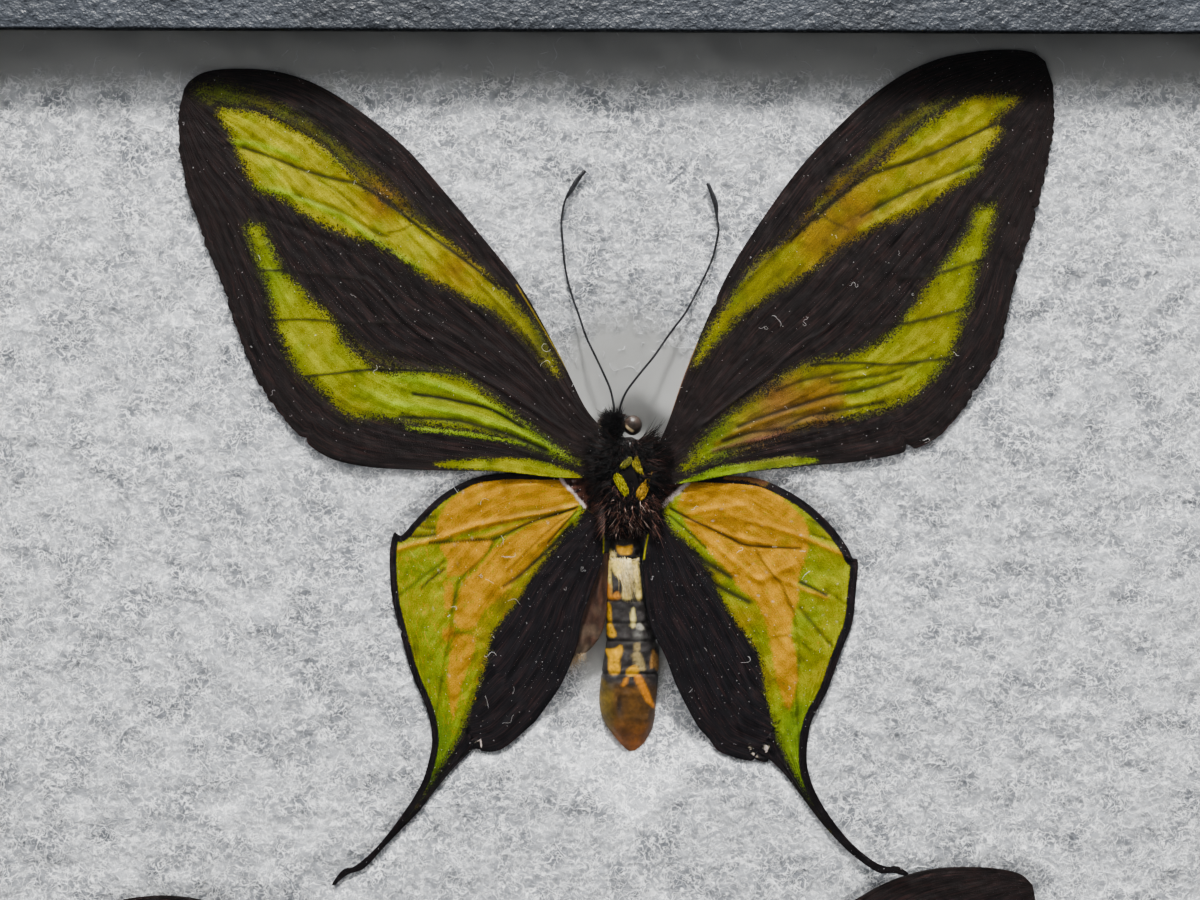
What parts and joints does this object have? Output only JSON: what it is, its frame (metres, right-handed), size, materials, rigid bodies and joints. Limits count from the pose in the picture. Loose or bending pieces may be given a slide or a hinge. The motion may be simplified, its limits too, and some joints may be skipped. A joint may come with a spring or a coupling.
{
  "type": "framed butterfly specimen",
  "caption": "Shallow black glazed display box with birdwing butterflies, wings spread, laid on white batting",
  "frame": {"origin": "middle of the box's underside, on the surface that it lies on", "axes": "+Z out through the glass, +Y towards the butterflies' heads (the box's top edge), +X to the right as they are seen from above"},
  "size_m": [0.2052, 0.254, 0.022],
  "materials": {
    "board": "black grained covering, semi-matt",
    "glass": "clear, polished",
    "batting": "loose white fibres",
    "steel": "plated, satin",
    "forewing": "scaly, black with green and yellow bands",
    "hindwing": "scaly, gold and green with black borders",
    "fur": "dark brown hair",
    "abdomen": "satin, yellow and brown with dark bands",
    "eye": "glossy",
    "horn": "satin"
  },
  "bodies": {
    "root": {"tray": "board", "lid": "board", "glass": "glass", "batting": "batting", "lid_pin_1": "steel", "lid_pin_2": "steel", "lid_pin_3": "steel", "lid_pin_4": "steel", "upper_forewing_left": "forewing", "upper_forewing_right": "forewing", "upper_hindwing_left": "hindwing", "upper_hindwing_right": "hindwing", "upper_thorax": "fur", "upper_abdomen": "abdomen", "upper_head": "fur", "upper_eye_left": "eye", "upper_eye_right": "eye", "upper_antenna_left": "horn", "upper_antenna_right": "horn", "lower_forewing_left": "forewing", "lower_forewing_right": "forewing", "lower_hindwing_left": "hindwing", "lower_hindwing_right": "hindwing", "lower_thorax": "fur", "lower_abdomen": "abdomen", "lower_head": "fur", "lower_eye_left": "eye", "lower_eye_right": "eye", "lower_antenna_left": "horn", "lower_antenna_right": "horn"}
  },
  "joints": []
}
